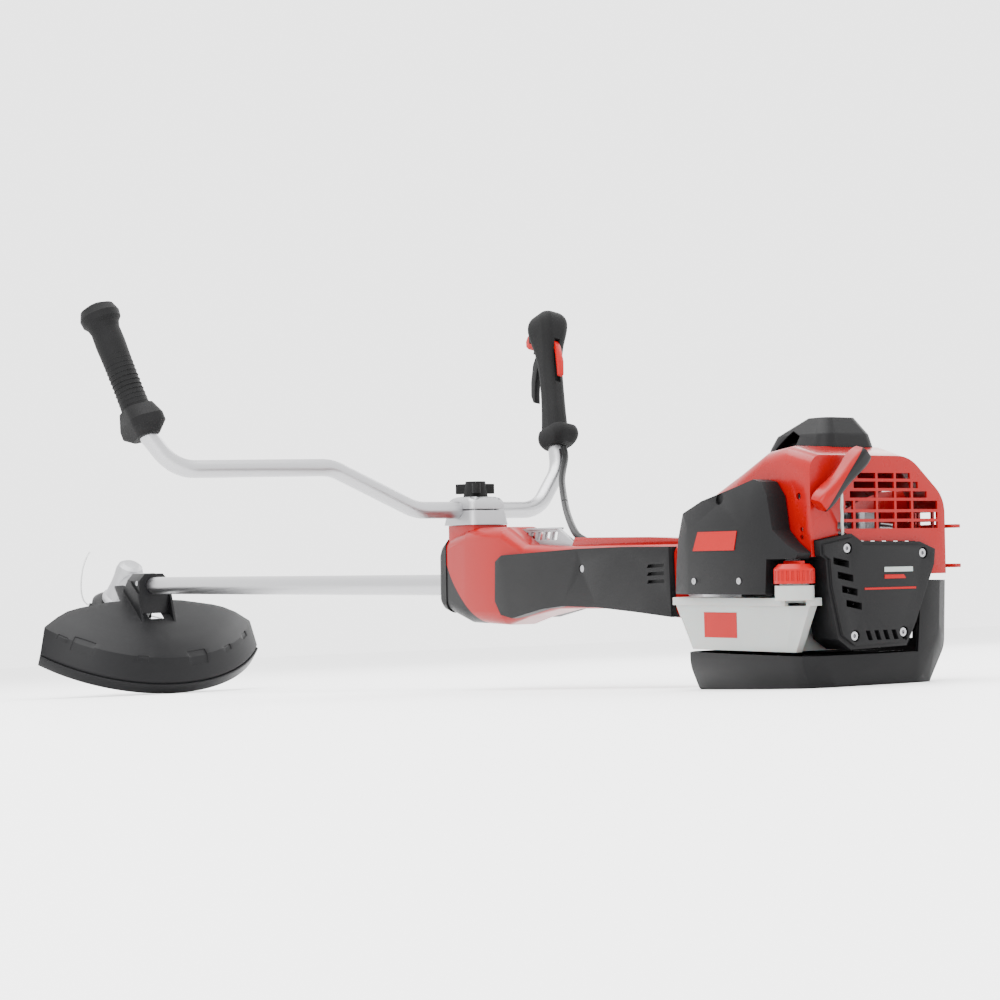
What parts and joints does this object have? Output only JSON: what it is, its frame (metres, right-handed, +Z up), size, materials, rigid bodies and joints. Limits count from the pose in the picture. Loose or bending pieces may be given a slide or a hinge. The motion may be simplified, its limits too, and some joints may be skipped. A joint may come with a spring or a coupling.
{
  "type": "brush cutter",
  "caption": "Petrol brush cutter with a bicycle handlebar, long straight shaft, rear engine with recoil starter, and a nylon line cutting head under a fan-shaped guard",
  "frame": {"origin": "on the floor at the flat underside of the engine base, straight under the crossing of crank axis and cylinder axis", "axes": "+X along the machine towards the engine end, with the cutting head at -X; +Y to the operator's right; +Z up. The machine lies on its engine foot and guard rim, so the shaft rises by 2.49 degrees towards -X"},
  "size_m": [1.946, 0.7203, 0.5158],
  "materials": {
    "accent_red": "moulded accent",
    "cable_black": "sheathed cable",
    "cast_alu": "die cast",
    "drum_steel": "machined iron",
    "foam": "filter foam",
    "guard_black": "satin moulded guard",
    "line_clear": "nylon line",
    "rope": "braided rope",
    "shell_black": "fine textured moulded cover",
    "shell_red": "glossy moulded housing",
    "soft_grip": "soft grip",
    "steel": "turned steel",
    "tank_white": "translucent tank plastic",
    "tube_alu": "satin anodised tube"
  },
  "bodies": {
    "engine": {"shaft_tube": "tube_alu", "shaft_bushes": "shell_black", "clutch_housing": "cast_alu", "crankcase": "cast_alu", "crank_bearings": "steel", "cylinder": "cast_alu", "ignition_coil": "shell_black", "spark_plug": "steel", "plug_boot": "soft_grip", "carburetor": "cast_alu", "intake_manifold": "shell_black", "air_filter": "foam", "air_filter_cover": "shell_black", "muffler": "steel", "muffler_guard": "shell_red", "engine_shroud": "shell_red", "top_hood": "shell_black", "fuel_tank": "tank_white", "base_shell": "shell_black", "starter_housing": "shell_black", "recoil_spring": "steel", "main_housing": "shell_red", "front_collar": "shell_black", "side_cover_left": "shell_black", "side_cover_right": "shell_black", "harness_rail": "cast_alu", "top_spine": "shell_red", "shell_screws": "steel", "gearbox_housing": "cast_alu", "gearbox_bearings": "steel", "cutting_guard": "guard_black", "guard_bracket": "guard_black", "guard_skirt": "guard_black", "line_cutter": "steel", "throttle_cable": "cable_black"},
    "drive_line": {"drive_shaft": "steel", "clutch_drum": "drum_steel", "bevel_pinion": "steel"},
    "cutting_head": {"output_shaft": "steel", "trimmer_head": "guard_black", "line_spool": "shell_black", "trimmer_line": "line_clear"},
    "bump_knob": {"bump_knob": "guard_black"},
    "crank": {"crankshaft": "steel", "flywheel": "cast_alu", "clutch_shoes": "drum_steel"},
    "piston": {"piston": "cast_alu"},
    "pulley": {"starter_pulley": "shell_black"},
    "pull_grip": {"starter_grip": "shell_black", "starter_rope": "rope"},
    "clamp": {"clamp_base": "cast_alu", "clamp_cap": "cast_alu"},
    "clamp_knob": {"clamp_knob": "soft_grip"},
    "handlebar": {"handlebar_tube": "tube_alu", "left_grip": "soft_grip", "right_grip": "soft_grip"},
    "trigger": {"throttle_trigger": "shell_black"},
    "lockout": {"lockout_lever": "accent_red"},
    "stop_switch": {"stop_switch": "accent_red"},
    "fuel_cap": {"fuel_cap": "accent_red"}
  },
  "joints": [
    {"name": "drive_spin", "type": "hinge", "parent": "engine", "child": "drive_line", "pos_m": [-0.79924, 0, 0.14372], "axis": [0.9991, 0, -0.0435], "continuous": true},
    {"name": "head_spin", "type": "hinge", "parent": "engine", "child": "cutting_head", "pos_m": [-1.73449, 0, 0.15845], "axis": [-0.5372, 0, -0.8434], "continuous": true, "deforming": ["trimmer_line"]},
    {"name": "bump_press", "type": "slide", "parent": "cutting_head", "child": "bump_knob", "axis": [0.5372, 0, 0.8434], "range_m": [0, 0.005], "stiffness_N_per_m": 900, "springref_m": -0.008},
    {"name": "crank_spin", "type": "hinge", "parent": "engine", "child": "crank", "pos_m": [0, 0, 0.1089], "axis": [0.9991, 0, -0.0435], "continuous": true},
    {"name": "piston_stroke", "type": "slide", "parent": "engine", "child": "piston", "axis": [0.0435, 0, 0.9991], "range_m": [-0.017, 0.017]},
    {"name": "rope_pull", "type": "slide", "parent": "engine", "child": "pull_grip", "axis": [0.3098, -0.251, 0.9171], "range_m": [0, 0.8], "stiffness_N_per_m": 12, "springref_m": -0.5, "deforming": ["starter_rope"]},
    {"name": "pulley_spin", "type": "hinge", "parent": "engine", "child": "pulley", "pos_m": [0.09691, 0, 0.10468], "axis": [0.9991, 0, -0.0435], "range_deg": [-1680, 0]},
    {"name": "bar_swivel", "type": "hinge", "parent": "engine", "child": "clamp", "pos_m": [-0.62983, 0, 0.21841], "axis": [0.0435, 0, 0.9991], "range_deg": [-90, 0], "deforming": ["throttle_cable"]},
    {"name": "bar_tilt", "type": "hinge", "parent": "clamp", "child": "handlebar", "pos_m": [-0.62913, 0, 0.2344], "axis": [0, 1, 0], "range_deg": [-15, 15]},
    {"name": "knob_turn", "type": "hinge", "parent": "clamp", "child": "clamp_knob", "pos_m": [-0.62818, 0, 0.25638], "axis": [0.0435, 0, 0.9991], "range_deg": [0, 1080]},
    {"name": "trigger_squeeze", "type": "hinge", "parent": "handlebar", "child": "trigger", "pos_m": [-0.71793, 0.17754, 0.45619], "axis": [0.0081, -0.9826, 0.1858], "range_deg": [0, 14], "stiffness_Nm_per_rad": 0.5, "springref_deg": -14.32},
    {"name": "lockout_squeeze", "type": "hinge", "parent": "handlebar", "child": "lockout", "pos_m": [-0.68795, 0.17989, 0.46734], "axis": [0.0081, -0.9826, 0.1858], "range_deg": [-8, 0], "stiffness_Nm_per_rad": 0.3, "springref_deg": 11.46},
    {"name": "stop_rock", "type": "hinge", "parent": "handlebar", "child": "stop_switch", "pos_m": [-0.73076, 0.18136, 0.47699], "axis": [0.0081, -0.9826, 0.1858], "range_deg": [0, 12]},
    {"name": "cap_turn", "type": "hinge", "parent": "engine", "child": "fuel_cap", "pos_m": [0.10234, -0.097, 0.11445], "axis": [0.0435, 0, 0.9991], "range_deg": [0, 540]}
  ],
  "couplings": [
    {"joint": "head_spin", "follows": "drive_spin", "ratio": 0.75},
    {"joint": "pulley_spin", "follows": "rope_pull", "rad_per_m": -35.714}
  ]
}
